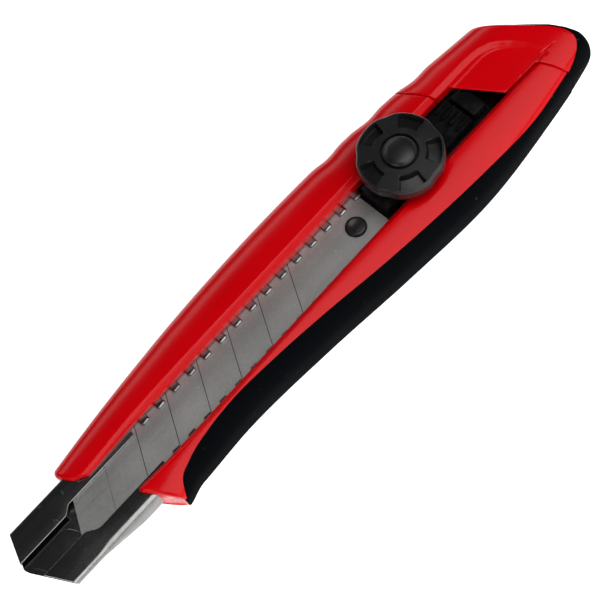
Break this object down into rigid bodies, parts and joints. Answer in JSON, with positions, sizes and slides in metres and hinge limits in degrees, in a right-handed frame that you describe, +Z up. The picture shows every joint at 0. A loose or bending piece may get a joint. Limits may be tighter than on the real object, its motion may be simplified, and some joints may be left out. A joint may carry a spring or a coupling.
{
  "type": "utility knife",
  "caption": "Utility knife with a snap-off blade in a toothed steel channel, a screw-down slider knob, a red casing with a black belly grip and a pull-off end cap.",
  "frame": {"origin": "on the flat back face, under the blade's centre line, half way along the knife", "axes": "+X from the nose to the tail, +Y from the cutting edge to the spine, +Z up from the back face to the knob"},
  "size_m": [0.1766, 0.0356, 0.0231],
  "materials": {
    "red_plastic": "glossy moulded red",
    "black_rubber": "matt, fine grain",
    "black_plastic": "satin black",
    "channel_steel": "polished stainless",
    "blade_steel": "ground satin",
    "zinc_steel": "bright zinc",
    "brass": "turned"
  },
  "bodies": {
    "handle": {"handle_casing": "red_plastic", "back_cover": "red_plastic", "belly_grip": "black_rubber", "casing_screws": "zinc_steel", "channel_rivets": "zinc_steel", "blade_channel": "channel_steel"},
    "end_cap": {"end_cap": "red_plastic", "end_cap_rim": "black_rubber"},
    "slider": {"carriage": "black_plastic", "blade_peg": "black_plastic", "blade": "blade_steel", "tail_guide": "black_plastic", "knob_washer": "zinc_steel"},
    "lock": {"lock_plate": "zinc_steel", "clamp_stud": "zinc_steel", "stud_clip": "zinc_steel", "release_spring": "zinc_steel"},
    "knob": {"knob": "black_plastic", "knob_nut": "brass", "knob_cap": "black_plastic"}
  },
  "joints": [
    {"name": "blade_slide", "type": "slide", "parent": "handle", "child": "slider", "axis": [1, 0, 0], "range_m": [-0.075, 0]},
    {"name": "knob_turn", "type": "hinge", "parent": "slider", "child": "knob", "pos_m": [0.0339, 0, 0.0194], "axis": [0, 0, 1], "range_deg": [-225, 0]},
    {"name": "lock_lift", "type": "slide", "parent": "slider", "child": "lock", "axis": [0, 0, 1], "range_m": [0, 0.0005], "deforming": ["release_spring"]},
    {"name": "cap_pull", "type": "slide", "parent": "handle", "child": "end_cap", "axis": [1, 0, 0], "range_m": [0, 0.03]}
  ]
}
